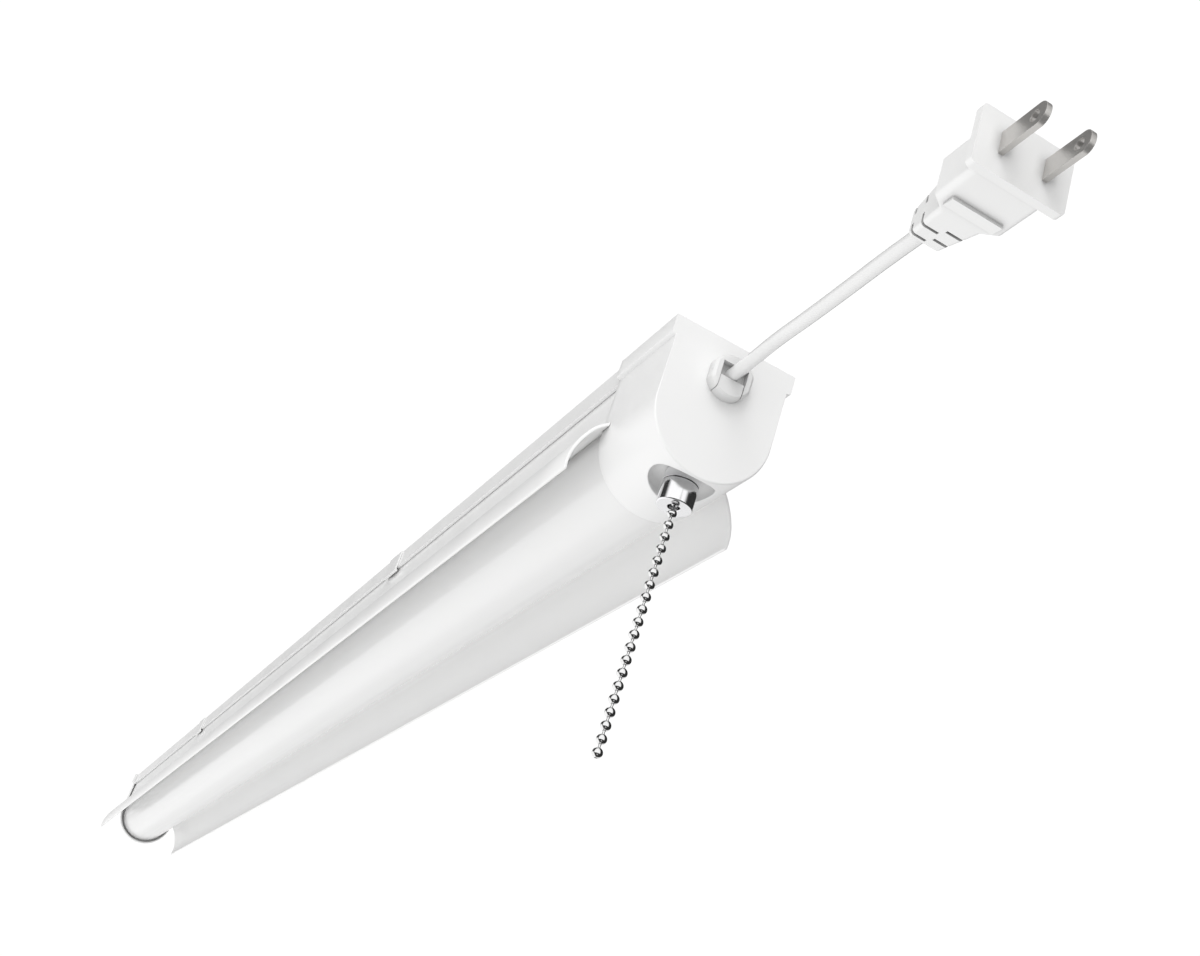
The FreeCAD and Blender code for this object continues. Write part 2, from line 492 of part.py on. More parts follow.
# ----------------------------------------------------------------- pull switch
BODY_TOP, BODY_BOT = -21.0, POCKET_FLOOR + 1.6
COVER_T = 1.5
CAV_R = 7.2
sbox = Part.Face(Part.Wire([e for e in rrect_wire(0, 9.0, -10.0, 10.0, 2.0).Edges]))
sbox.rotate(V(0, 0, 0), Y, 90)
sbox.translate(V(SW_X, 0, 0) - V(sbox.BoundBox.Center.x, sbox.BoundBox.Center.y, 0))
sbox.rotate(V(SW_X, 0, 0), Z, 90)
sbox.translate(V(0, 0, BODY_BOT - sbox.BoundBox.ZMin))
sw = sbox.extrude(V(0, 0, BODY_TOP - COVER_T - BODY_BOT))
sw = sw.fuse(cyl(NECK_T, (SW_X, 0, -50.2), Z, 50.2 + BODY_BOT + 0.5))
sw = sw.cut(cyl(CAV_R, (SW_X, 0, BODY_BOT + 1.5), Z, 30))
sw = sw.cut(cyl(2.4, (SW_X, 0, -52), Z, 20))
save("switch_body", sw)
cover = sbox.copy()
cover.translate(V(0, 0, BODY_TOP - COVER_T - BODY_BOT))
cover = cover.extrude(V(0, 0, COVER_T))
cover = cover.cut(cyl(1.55, (SW_X, 0, BODY_TOP - 3), Z, 5))
cont = []
for s in (-1, 1):
    c = box(SW_X - 1.5, SW_X + 1.5, *sorted((s * 6.3, s * 6.9)), -27.5, -18.0)
    cont.append(c)
cover = cover.cut(cont)
save("switch_cover", cover)
save("switch_contacts", cont)
WASHER_T = 0.4
washer = cyl(5.3, (SW_X, 0, POCKET_FLOOR - WASHER_T), Z, WASHER_T).cut(cyl(NECK_T + 0.02, (SW_X, 0, -50), Z, 10))
save("switch_lock_washer", washer)
noz = cyl(NOZZLE_R, (SW_X, 0, NOZZLE_Z0), Z, POCKET_FLOOR - WASHER_T - NOZZLE_Z0)
es = [e for e in noz.Edges if abs(e.CenterOfMass.z - NOZZLE_Z0) < 1e-6 and e.BoundBox.ZLength < 1e-6]
noz = noz.makeFillet(0.5, es)
noz = noz.cut(cyl(NECK_T + 0.05, (SW_X, 0, -52.4), Z, 20)).cut(cyl(1.9, (SW_X, 0, -60), Z, 20))
save("switch_nozzle", noz)
# ratchet rotor with its hub pin in the cover
cam = cyl(5.6, (SW_X, 0, -24.3), Z, 1.5)
for k in range(8):
    a = math.radians(45 * k)
    cam = cam.cut(cyl(1.0, (SW_X + 5.7 * math.cos(a), 5.7 * math.sin(a), -26), Z, 5))
cam = cam.fuse(cyl(1.5, (SW_X, 0, -24.3), Z, 2.9))
save("switch_cam", cam)
# plunger: flange on the return spring, stem down to the chain
STEM_Z0 = -41.2
pl = cyl(5.4, (SW_X, 0, -25.8), Z, 1.2).fuse(cyl(1.4, (SW_X, 0, STEM_Z0), Z, -25.2 - STEM_Z0))
save("switch_plunger", pl)
SP_TOP, SP_BOT = -25.8, BODY_BOT + 1.5
turns = 5.0
sr, sw_r = 3.6, 0.35
helix = Part.makeHelix((SP_TOP - SP_BOT - 2 * sw_r) / turns, SP_TOP - SP_BOT - 2 * sw_r, sr)
prof_c = Part.Wire([Part.makeCircle(sw_r, V(sr, 0, 0), Y)])
spring = Part.Wire(helix.Edges).makePipeShell([prof_c], True, True)
spring.translate(V(SW_X, 0, SP_BOT + sw_r))
save("return_spring", spring)

# ----------------------------------------------------------------- bead chain
def bead(z):
    return Part.makeSphere(BEAD_R, V(SW_X, 0, z))


def strand(zs, z_from):
    """Beads at the heights zs, joined by wire that starts at z_from."""
    s = bead(zs[0])
    parts = [bead(z) for z in zs[1:]]
    parts.append(cyl(0.42, (SW_X, 0, zs[-1]), Z, z_from - zs[-1]))
    return s.fuse(parts)


inner_z = [CHAIN_TOP + 3 * PITCH, CHAIN_TOP + 2 * PITCH, CHAIN_TOP + PITCH]
save("bead_chain_inner", strand(inner_z, STEM_Z0).fuse(
    cyl(0.42, (SW_X, 0, CHAIN_TOP + BEAD_R + 0.12), Z, PITCH - BEAD_R - 0.2)))
save("chain_top_bead", bead(CHAIN_TOP))
up = [CHAIN_TOP - PITCH * (i + 1) for i in range(N_UPPER)]
mid_z = CHAIN_TOP - PITCH * (N_UPPER + 1)
save("bead_chain_upper", strand(up, CHAIN_TOP - BEAD_R - 0.12).fuse(
    cyl(0.42, (SW_X, 0, mid_z + BEAD_R + 0.12), Z, up[-1] - mid_z - BEAD_R - 0.12)))
save("chain_middle_bead", bead(mid_z))
low = [mid_z - PITCH * (i + 1) for i in range(N_LOWER)]
save("bead_chain_lower", strand(low, mid_z - BEAD_R - 0.12))
print("chain: top %.2f, middle %.2f, last %.2f" % (CHAIN_TOP, mid_z, low[-1]))
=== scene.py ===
import json
import math

import bmesh
import bpy
from mathutils import Matrix, Vector


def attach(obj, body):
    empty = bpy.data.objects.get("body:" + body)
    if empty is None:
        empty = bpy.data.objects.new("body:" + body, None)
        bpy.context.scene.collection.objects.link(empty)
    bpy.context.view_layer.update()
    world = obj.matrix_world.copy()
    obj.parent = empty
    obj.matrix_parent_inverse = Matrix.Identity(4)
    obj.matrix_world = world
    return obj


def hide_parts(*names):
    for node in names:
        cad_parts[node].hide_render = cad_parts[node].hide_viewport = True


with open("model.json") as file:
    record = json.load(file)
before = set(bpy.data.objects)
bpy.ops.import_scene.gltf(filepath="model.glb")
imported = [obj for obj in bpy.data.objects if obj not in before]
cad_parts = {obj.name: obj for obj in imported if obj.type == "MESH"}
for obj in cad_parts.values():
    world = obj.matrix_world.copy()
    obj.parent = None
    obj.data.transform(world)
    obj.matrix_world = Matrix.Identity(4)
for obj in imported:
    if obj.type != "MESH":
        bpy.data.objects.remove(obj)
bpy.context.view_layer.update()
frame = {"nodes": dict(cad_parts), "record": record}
record = frame["record"]
NODES = frame["nodes"]
SLOT = {s["node"]: s["material_slot"] for s in record["subparts"]}
BODY = {n: b for b, ns in record["behaviour"]["bodies"].items() for n in ns}
scene = bpy.context.scene
MM = 0.001


# ---------------------------------------------------------------- the camera
cam_data = bpy.data.cameras.new("camera")
cam = bpy.data.objects.new("camera", cam_data)
scene.collection.objects.link(cam)
cam_data.sensor_fit = "HORIZONTAL"
cam_data.sensor_width = 36.0
cam_data.lens = 1579.5225 / 1200.0 * 36.0
cam_data.clip_start = 0.01
cam_data.clip_end = 60.0
cam_data.dof.use_dof = False
right = Vector((0.42850460, 0.85700268, 0.28623456))
up = Vector((0.31131985, -0.43743331, 0.84364213))
fwd = Vector((-0.84821209, 0.27239403, 0.45424413))
rot = Matrix((right, up, -fwd)).transposed().to_4x4()
cam.matrix_world = Matrix.Translation((0.83505510, -0.14951585, -0.26471027)) @ rot
scene.camera = cam


# ------------------------------------------------------------------ helpers
def new_object(name, mesh):
    ob = bpy.data.objects.new(name, mesh)
    scene.collection.objects.link(ob)
    return ob


def finish_mesh(me, angle=30.0):
    me.validate()
    for p in me.polygons:
        p.use_smooth = True
    me.set_sharp_from_angle(angle=math.radians(angle))
    me.update()


def even_normals(me, angle=50.0):
    """Corner normals weighed by area, so broad flats stay flat and narrow rounds carry the turn."""
    lim = math.cos(math.radians(angle))
    around = [[] for _ in me.vertices]
    for p in me.polygons:
        for v in p.vertices:
            around[v].append(p.index)
    nor = [p.normal.copy() for p in me.polygons]
    area = [p.area for p in me.polygons]
    out = []
    for p in me.polygons:
        n0 = nor[p.index]
        for v in p.vertices:
            total = Vector((0.0, 0.0, 0.0))
            for q in around[v]:
                if nor[q].dot(n0) > lim:
                    total += nor[q] * area[q]
            out.append(total.normalized() if total.length > 0 else n0)
    me.normals_split_custom_set(out)


def from_bmesh(name, bm, angle=30.0):
    bmesh.ops.recalc_face_normals(bm, faces=bm.faces)
    me = bpy.data.meshes.new(name)
    bm.to_mesh(me)
    bm.free()
    finish_mesh(me, angle)
    return new_object(name, me)


def place(ob, node_or_nodes, mat):
    """The piece rides on its node's body, stands for it and takes the material given."""
    nodes = [node_or_nodes] if isinstance(node_or_nodes, str) else list(node_or_nodes)
    ob.data.materials.clear()
    ob.data.materials.append(mat)
    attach(ob, BODY[nodes[0]])
    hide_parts(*nodes)
    return ob


def soft_copy(node, name, bevel=0.0, segments=3, sharp=28.0, angle=50.0, only=None):
    """A finer copy of a node: welded, flat areas merged, edges softened."""
    bm = bmesh.new()
    bm.from_mesh(NODES[node].data)
    bmesh.ops.remove_doubles(bm, verts=bm.verts, dist=2e-6)
    bmesh.ops.dissolve_degenerate(bm, edges=bm.edges, dist=1e-6)
    bmesh.ops.dissolve_limit(bm, angle_limit=math.radians(0.6), verts=bm.verts, edges=bm.edges)
    if bevel:
        es = [e for e in bm.edges if len(e.link_faces) == 2 and math.degrees(e.calc_face_angle(0.0)) > sharp
              and (only is None or only(e))]
        bmesh.ops.bevel(bm, geom=es, offset=bevel, offset_type="OFFSET", segments=segments, profile=0.5,
                        affect="EDGES", clamp_overlap=True, harden_normals=False)
    ob = from_bmesh(name, bm, angle)
    even_normals(ob.data, angle)
    return ob


def catmull(pts, n):
    """Smooth curve through the points, n steps a span."""
    p = [Vector(q) for q in pts]
    p = [2 * p[0] - p[1]] + p + [2 * p[-1] - p[-2]]
    out = []
    for i in range(1, len(p) - 2):
        for k in range(n):
            t = k / n
            a, b, c, d = p[i - 1], p[i], p[i + 1], p[i + 2]
            out.append(0.5 * ((2 * b) + (c - a) * t + (2 * a - 5 * b + 4 * c - d) * t * t
                              + (3 * b - a - 3 * c + d) * t ** 3))
    out.append(p[-2].copy())
    return out


def loft_x(bm, loops, xs, cap=True, scale=MM):
    """Closed (y, z) loops of equal length joined from one x to the next."""
    rings = []
    for lp, x in zip(loops, xs):
        rings.append([bm.verts.new((x * scale, y * scale, z * scale)) for y, z in lp])
    n = len(rings[0])
    for a, b in zip(rings[:-1], rings[1:]):
        for i in range(n):
            j = (i + 1) % n
            bm.faces.new((a[i], a[j], b[j], b[i]))
    if cap:
        bm.faces.new(rings[0])
        bm.faces.new(list(reversed(rings[-1])))
    return rings


def lathe(bm, profile, centre, segs=64, scale=MM):
    """Profile of (radius, z) turned about the upright axis through centre."""
    cx, cy = centre
    rings = []
    for r, z in profile:
        if r < 1e-6:
            rings.append([bm.verts.new((cx * scale, cy * scale, z * scale))])
        else:
            rings.append([bm.verts.new(((cx + r * math.cos(2 * math.pi * k / segs)) * scale,
                                        (cy + r * math.sin(2 * math.pi * k / segs)) * scale, z * scale))
                          for k in range(segs)])
    for a, b in zip(rings[:-1], rings[1:]):
        for k in range(segs):
            j = (k + 1) % segs
            if len(a) == 1 and len(b) == 1:
                continue
            if len(a) == 1:
                bm.faces.new((a[0], b[k], b[j]))
            elif len(b) == 1:
                bm.faces.new((a[k], b[0], a[j]))
            else:
                bm.faces.new((a[k], b[k], b[j], a[j]))
    return rings


def cut(ob, cutter):
    """Takes the cutter's volume out of the piece for good."""
    m = ob.modifiers.new("cut", "BOOLEAN")
    m.operation = "DIFFERENCE"
    m.solver = "EXACT"
    m.object = cutter
    dg = bpy.context.evaluated_depsgraph_get()
    me = bpy.data.meshes.new_from_object(ob.evaluated_get(dg))
    ob.modifiers.clear()
    old = ob.data
    ob.data = me
    bpy.data.meshes.remove(old)
    cm = cutter.data
    bpy.data.objects.remove(cutter)
    bpy.data.meshes.remove(cm)


# ---------------------------------------------------------------- materials
class Nodes:
    def __init__(self, name):
        self.mat = bpy.data.materials.new(name)
        self.mat.use_nodes = True
        self.t = self.mat.node_tree
        self.bsdf = self.t.nodes["Principled BSDF"]
        self.coord = self.t.nodes.new("ShaderNodeTexCoord").outputs["Object"]

    def add(self, kind, **props):
        n = self.t.nodes.new(kind)
        for k, v in props.items():
            setattr(n, k, v)
        return n

    def link(self, a, b):
        self.t.links.new(a, b)

    def noise(self, scale, detail=3.0, rough=0.5, stretch=None, distortion=0.0):
        src = self.coord
        if stretch:
            m = self.add("ShaderNodeMapping")
            m.inputs["Scale"].default_value = stretch
            self.link(src, m.inputs["Vector"])
            src = m.outputs["Vector"]
        n = self.add("ShaderNodeTexNoise")
        n.inputs["Scale"].default_value = scale
        n.inputs["Detail"].default_value = detail
        n.inputs["Roughness"].default_value = rough
        n.inputs["Distortion"].default_value = distortion
        self.link(src, n.inputs["Vector"])
        return n.outputs["Fac"]

    def ramp(self, fac, stops):
        r = self.add("ShaderNodeValToRGB")
        e = r.color_ramp.elements
        e[0].position, e[0].color = stops[0][0], (*stops[0][1], 1)
        e[1].position, e[1].color = stops[-1][0], (*stops[-1][1], 1)
        for pos, col in stops[1:-1]:
            x = e.new(pos)
            x.color = (*col, 1)
        self.link(fac, r.inputs["Fac"])
        return r.outputs["Color"]

    def span(self, fac, lo, hi, a=0.3, b=0.7):
        m = self.add("ShaderNodeMapRange")
        m.inputs["From Min"].default_value = a
        m.inputs["From Max"].default_value = b
        m.inputs["To Min"].default_value = lo
        m.inputs["To Max"].default_value = hi
        self.link(fac, m.inputs["Value"])
        return m.outputs["Result"]

    def bump(self, height, strength, distance, before=None):
        b = self.add("ShaderNodeBump")
        b.inputs["Strength"].default_value = strength
        b.inputs["Distance"].default_value = distance
        self.link(height, b.inputs["Height"])
        if before is not None:
            self.link(before, b.inputs["Normal"])
        return b.outputs["Normal"]

    def painted_shade(self, colour, depth, floor, reach=0.0035, before_x=None):
        """Painted shade: the colour is darkened by ambient occlusion where other surfaces crowd in, in joints, slots
        and deep corners; it fades out just before before_x along x and is left off beyond it.
        """
        ao = self.add("ShaderNodeAmbientOcclusion", samples=6)
        ao.inputs["Distance"].default_value = reach
        f = self.span(ao.outputs["AO"], floor, 1.0, depth, 0.98)
        if before_x is not None:
            xyz = self.add("ShaderNodeSeparateXYZ")
            self.link(self.coord, xyz.inputs["Vector"])
            f = self.max(f, self.span(xyz.outputs["X"], 0.0, 1.0, before_x - 0.0008, before_x))
        m = self.add("ShaderNodeVectorMath", operation="MULTIPLY")
        self.link(colour, m.inputs[0])
        self.link(f, m.inputs[1])
        return m.outputs["Vector"]

    def max(self, a, b):
        m = self.add("ShaderNodeMath", operation="MAXIMUM")
        self.link(a, m.inputs[0])
        self.link(b, m.inputs[1])
        return m.outputs[0]

    def put(self, **kw):
        for k, v in kw.items():
            sock = self.bsdf.inputs[k.replace("_", " ")]
            if hasattr(v, "is_linked") or hasattr(v, "links"):
                self.link(v, sock)
            else:
                sock.default_value = v


def shade(c, k):
    return tuple(max(0.0, min(1.0, x * k)) for x in c)


def moulded(name, col, rough=0.38, grain=2600.0, depth=0.00001, blotch=22.0, spread=0.012, spec=0.5, painted_shade=None):
    """Injection-moulded or coated surface: fine spark grain, faint flow mottling."""
    n = Nodes(name)
    big = n.noise(blotch, 3.0, 0.55)
    fine = n.noise(grain, 2.0, 0.6)
    mid = n.noise(grain * 0.16, 2.0, 0.5)
    colour = n.ramp(big, [(0.3, shade(col, 1 - spread)), (0.5, col), (0.72, shade(col, 1 + spread * 0.6))])
    # painted shade: when these settings are given, the colour darkens by ambient occlusion in joints, slots and
    # corners
    if painted_shade:
        colour = n.painted_shade(colour, *painted_shade)
    r = n.span(mid, rough - 0.05, rough + 0.06)
    nor = n.bump(fine, 0.22, depth)
    nor = n.bump(mid, 0.10, depth * 2.0, nor)
    n.put(Base_Color=colour, Roughness=r, Normal=nor)
    n.bsdf.inputs["Specular IOR Level"].default_value = spec
    return n.mat


def coated(name, col, rough=0.3, coat=0.25, peel=420.0, depth=0.00003, spread=0.012, painted_shade=None):
    """Sprayed coat on sheet: soft orange peel, slight drift in tone and gloss."""
    n = Nodes(name)
    big = n.noise(9.0, 2.0, 0.5, stretch=(0.35, 1.6, 1.6))
    peel_n = n.noise(peel, 2.0, 0.45)
    colour = n.ramp(big, [(0.3, shade(col, 1 - spread)), (0.5, col), (0.72, shade(col, 1 + spread * 0.5))])
    # painted shade: when these settings are given, the colour darkens by ambient occlusion in joints, slots and
    # corners
    if painted_shade:
        colour = n.painted_shade(colour, *painted_shade)
    r = n.span(n.noise(60.0, 2.0), rough - 0.03, rough + 0.04)
    n.put(Base_Color=colour, Roughness=r, Normal=n.bump(peel_n, 0.10, depth))
    n.bsdf.inputs["Coat Weight"].default_value = coat
    n.bsdf.inputs["Coat Roughness"].default_value = 0.12
    return n.mat


def metal(name, col, rough=0.08, grain=900.0, stretch=(1, 1, 1), depth=0.000004, spread=0.06, wear=0.1, metallic=1.0):
    n = Nodes(name)
    big = n.noise(120.0, 3.0, 0.6)
    fine = n.noise(grain, 3.0, 0.6, stretch=stretch)
    colour = n.ramp(big, [(0.25, shade(col, 1 - spread)), (0.5, col), (0.8, shade(col, 1 + spread * 0.5))])
    r = n.span(fine, rough, rough + wear)
    n.put(Base_Color=colour, Roughness=r, Normal=n.bump(fine, 0.25, depth))
    n.bsdf.inputs["Metallic"].default_value = metallic
    return n.mat


WHITE = (0.875, 0.875, 0.872)
MAT = {}
# painted shade: the housing's colour darkens by ambient occlusion in its joints and under the cover's edge
MAT["housing_white"] = coated("housing_coat", (0.878, 0.878, 0.875), rough=0.34, coat=0.15, painted_shade=(0.3, 0.8, 0.002))
MAT["wing_white"] = coated("wing_coat", (0.888, 0.888, 0.885), rough=0.38, coat=0.1, peel=520.0)
# painted shade: the cap's colour darkens in the recess and along its joints, faded out before the front face
MAT["cap_white"] = moulded("cap_plastic", (0.878, 0.878, 0.875), rough=0.36, painted_shade=(0.3, 0.68, 0.006, 0.4568))
# painted shade: the bushing's colour darkens in its pocket and where it meets the cap
MAT["bushing_white"] = moulded("bushing_plastic", (0.77, 0.77, 0.767), rough=0.35, grain=3200.0,
                               painted_shade=(0.1, 0.6, 0.004))
MAT["clip_white"] = coated("clip_coat", (0.84, 0.84, 0.838), rough=0.34, coat=0.1)
# painted shade: the plug's colour darkens in its slots and joints
MAT["plug_white"] = moulded("plug_plastic", (0.872, 0.872, 0.868), rough=0.34, grain=2200.0, depth=0.000016,
                            painted_shade=(0.25, 0.45, 0.003))
MAT["steel"] = metal("zinc_steel", (0.60, 0.61, 0.63), rough=0.3, grain=700.0)
MAT["circuit_white"] = moulded("board_white", (0.82, 0.82, 0.80), rough=0.42, grain=1500.0, spread=0.03)
MAT["circuit_green"] = moulded("board_green", (0.05, 0.22, 0.09), rough=0.35, grain=1500.0, spread=0.12)
MAT["led_yellow"] = moulded("led_phosphor", (0.80, 0.62, 0.14), rough=0.35, grain=4000.0, spread=0.05)
MAT["insulator"] = moulded("insulator_sheet", (0.78, 0.74, 0.62), rough=0.5, grain=900.0, spread=0.04)
MAT["dark_plastic"] = moulded("dark_moulding", (0.035, 0.035, 0.038), rough=0.45, grain=1800.0, spread=0.15)
MAT["ferrite"] = moulded("ferrite_core", (0.06, 0.06, 0.065), rough=0.55, grain=1200.0, depth=0.00004, spread=0.2)
MAT["copper"] = metal("copper_wire", (0.72, 0.33, 0.17), rough=0.29, grain=400.0, stretch=(1, 1, 9))
MAT["wire_jacket"] = moulded("wire_jacket", (0.72, 0.72, 0.72), rough=0.45, grain=1600.0, spread=0.04)
MAT["brass"] = metal("stamped_brass", (0.72, 0.55, 0.25), rough=0.29, grain=600.0)
MAT["connector"] = moulded("connector_shell", (0.75, 0.30, 0.07), rough=0.35, grain=1600.0, spread=0.05)
MAT["chrome"] = metal("nozzle_chrome", (0.86, 0.86, 0.87), rough=0.12, grain=1400.0, stretch=(1, 1, 0.2),
                      depth=0.0000015, spread=0.02, wear=0.06)
MAT["chain_metal"] = metal("chain_nickel", (0.80, 0.80, 0.80), rough=0.05, grain=1800.0, depth=0.000002, spread=0.04,
                           wear=0.08)
MAT["blade_metal"] = metal("blade_nickel", (0.60, 0.585, 0.565), rough=0.30, grain=420.0, stretch=(0.25, 3, 3),
                           depth=0.000004, spread=0.05, wear=0.10, metallic=0.72)


def opal(name):
    """Opal extrusion: smooth gloss skin over a milky body, faint draw lines along it."""
    n = Nodes(name)
    big = n.noise(7.0, 2.0, 0.5, stretch=(0.25, 1.5, 1.5))
    lines = n.noise(260.0, 2.0, 0.5, stretch=(0.02, 1, 1))
    colour = n.ramp(big, [(0.3, (0.838, 0.838, 0.833)), (0.5, (0.848, 0.848, 0.844)), (0.75, (0.854, 0.854, 0.851))])
    r = n.span(lines, 0.17, 0.25)
    n.put(Base_Color=colour, Roughness=r, Normal=n.bump(lines, 0.05, 0.00002))
    n.bsdf.inputs["Subsurface Weight"].default_value = 0.12
    n.bsdf.inputs["Subsurface Radius"].default_value = (1.0, 1.0, 0.95)
    n.bsdf.inputs["Subsurface Scale"].default_value = 0.004
    n.bsdf.inputs["Coat Weight"].default_value = 0.18
    n.bsdf.inputs["Coat Roughness"].default_value = 0.06
    n.bsdf.inputs["Sheen Weight"].default_value = 0.4
    n.bsdf.inputs["Sheen Roughness"].default_value = 0.3
    return n.mat


MAT["diffuser_white"] = opal("opal_diffuser")


def jacket(name):
    """Flexible cord jacket: soft sheen, shallow cross ripple and fine grain."""
    n = Nodes(name)
    big = n.noise(40.0, 2.0, 0.5)
    fine = n.noise(1900.0, 2.0, 0.6)
    ripple = n.noise(420.0, 1.0, 0.4, stretch=(0.5, 1, 1))
    colour = n.ramp(big, [(0.3, (0.81, 0.81, 0.808)), (0.6, (0.83, 0.83, 0.828)), (0.8, (0.845, 0.845, 0.843))])
    nor = n.bump(fine, 0.08, 0.000006)
    nor = n.bump(ripple, 0.05, 0.00002, nor)
    n.put(Base_Color=colour, Roughness=n.span(fine, 0.2, 0.265), Normal=nor)
    n.bsdf.inputs["Coat Weight"].default_value = 0.3
    n.bsdf.inputs["Coat Roughness"].default_value = 0.12
    return n.mat


MAT["cord_white"] = jacket("cord_jacket")


# ----------------------------------------------------------------- the cord
ROUTE = [(459.2, 0.0, -12.35), (470.2, 0.12, -12.1), (484.7, -0.25, -11.35), (503.2, 0.3, -10.98),
         (523.2, 0.1, -11.12), (541.2, -0.15, -11.2), (556.2, 0.0, -11.4)]
cu = bpy.data.curves.new("cord_line", "CURVE")
cu.dimensions = "3D"
sp = cu.splines.new("NURBS")
sp.points.add(len(ROUTE) - 1)
for p, q in zip(sp.points, ROUTE):
    p.co = (q[0] * MM, q[1] * MM, q[2] * MM, 1.0)
sp.order_u = 3
sp.use_endpoint_u = True
sp.resolution_u = 24
cu.bevel_depth = 2.1 * MM
cu.bevel_resolution = 12
cu.use_fill_caps = True
cord = new_object("supply_cord", cu)
cu.materials.append(MAT["cord_white"])
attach(cord, "housing")
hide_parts("power_cord")


# ------------------------------------------------------------ the diffuser
def diffuser_loop(outer=17.6, inner=15.8):
    zc = -27.7
    lp = [(-16.9, -19.6), (-16.9, -23.45), (-17.05, -23.6), (-17.4, -23.62), (-outer, -23.85)]
    for k in range(97):
        a = math.pi + math.pi * k / 96
        lp.append((outer * math.cos(a), zc + outer * math.sin(a)))
    lp += [(outer, -23.85), (17.4, -23.62), (17.05, -23.6), (16.9, -23.45), (16.9, -19.6), (16.75, -19.5),
           (inner + 0.15, -19.5), (inner, -19.65)]
    for k in range(49):
        a = 2 * math.pi - math.pi * k / 48
        lp.append((inner * math.cos(a), zc + inner * math.sin(a)))
    lp += [(-inner, -19.65), (-inner - 0.15, -19.5), (-16.75, -19.5)]
    return lp


bm = bmesh.new()
xs = [-455.0, -454.9] + [-454.9 + (423.9 + 454.9) * k / 48 for k in range(1, 48)] + [423.9, 424.0]
loops = [diffuser_loop(17.5, 15.9)] + [diffuser_loop() for _ in xs[1:-1]] + [diffuser_loop(17.5, 15.9)]
loft_x(bm, loops, xs)
diffuser = from_bmesh("opal_diffuser", bm, 40.0)
place(diffuser, "diffuser", MAT["diffuser_white"])

# --------------------------------------------------------------- the wings
WING = [(19.2, -20.0), (19.2, -22.9), (19.32, -23.7), (19.65, -24.6), (20.2, -25.4), (21.3, -26.35),
        (22.4, -27.2), (23.4, -28.15), (24.4, -29.2), (25.75, -31.2), (27.0, -33.5), (28.0, -35.6),
        (28.8, -37.8), (29.35, -39.6), (29.7, -41.5), (29.87, -43.0), (29.9, -44.5), (29.78, -46.0),
        (29.5, -47.3)]


def wing_loop(side, t, hem):
    """Sheet outline of thickness t about the same middle line; hem shortens it at the free edge."""
    o = catmull(WING, 5)
    mid, nor = [], []
    for i, p in enumerate(o):
        d = (o[min(i + 1, len(o) - 1)] - o[max(i - 1, 0)]).normalized()
        n = Vector((-d.y, d.x))          # towards the outside
        if n.x < 0 and abs(n.x) > abs(n.y):
            n = -n
        if n.y < 0 and i < 60 and abs(n.y) > abs(n.x):
            n = -n
        nor.append(n)
        mid.append(p - n * 0.5)
    h = t / 2
    mid[-1] = mid[-1] - (o[-1] - o[-2]).normalized() * (hem + h)
    keep = [i for i in range(len(mid)) if i == len(mid) - 1 or mid[i].y > mid[-1].y + 0.05]
    out = [mid[i] + nor[i] * h for i in keep]
    end_d = (o[-1] - o[-2]).normalized()
    tip = []
    for k in range(1, 8):
        a = math.pi * k / 8
        tip.append(mid[-1] + nor[-1] * (h * math.cos(a)) + end_d * (h * math.sin(a)))
    inn = [mid[i] - nor[i] * h for i in reversed(keep)]
    lp = [(side * p.x, p.y) for p in out + tip + inn]
    return lp


def cap_outline(g):
    lp = [(-21.45 - g, 1.0), (-21.45 - g, -6.45 - g * 0.4), (-20.0 - g, -6.85 - g * 0.4)]
    for k in range(65):
        a = math.pi + math.pi * k / 64
        lp.append(((20.0 + g) * math.cos(a), -27.7 + (20.0 + g) * math.sin(a)))
    lp += [(20.0 + g, -6.85 - g * 0.4), (21.45 + g, -6.45 - g * 0.4), (21.45 + g, 1.0)]
    return lp


def cutter(lp, x0, x1):
    b = bmesh.new()
    loft_x(b, [lp, lp], [x0, x1])
    return from_bmesh("cutter", b)


for side, name, node in ((1, "wing_sheet_right", "reflector_wing_right"), (-1, "wing_sheet_left", "reflector_wing_left")):
    bm = bmesh.new()
    x0, x1 = -453.3, 424.2
    e = 0.22
    ends = [(0.0, 1.0 - 2 * e), (e * 0.29, 1.0 - 2 * e * 0.29), (e, 1.0)]
    xs, loops = [], []
    for dx, t in ends:
        xs.append(x0 + dx)
        loops.append(wing_loop(side, t, (1.0 - t) / 2))
    n = 40
    for k in range(1, n):
        xs.append(x0 + e + (x1 - x0 - 2 * e) * k / n)
        loops.append(wing_loop(side, 1.0, 0.0))
    for dx, t in reversed(ends):
        xs.append(x1 - dx)
        loops.append(wing_loop(side, t, (1.0 - t) / 2))
    loft_x(bm, loops, xs)
    w = from_bmesh(name, bm, 35.0)
    cut(w, cutter(cap_outline(0.15), 418.3, 430.0))
    cut(w, cutter(cap_outline(0.15), -460.0, -451.5))
    finish_mesh(w.data, 35.0)
    place(w, node, MAT["wing_white"])

# --------------------------------------------- shells copied with soft edges
BEVEL = {
    "housing_channel": ("channel_extrusion", 0.25, 2), "top_cover": ("cover_lid", 0.35, 3),
    "far_end_cap": ("blank_end_cap", 0.22, 2),
    "mounting_clip_near": ("clip_near", 0.15, 2), "mounting_clip_far": ("clip_far", 0.15, 2),
    "bushing_body": ("cord_bushing", 0.06, 2), "bushing_key": ("cord_bushing_key", 0.06, 2),
    "plug_body": ("plug_moulding", 0.22, 3), "plug_blades": ("plug_prongs", 0.12, 2),
}
RELIEF = (0.5564, 0.5672)


def outside_slots(e):
    """The relief's slots keep their plain edges; the rest of the plug is rounded."""
    return not all(RELIEF[0] < v.co.x < RELIEF[1] for v in e.verts)


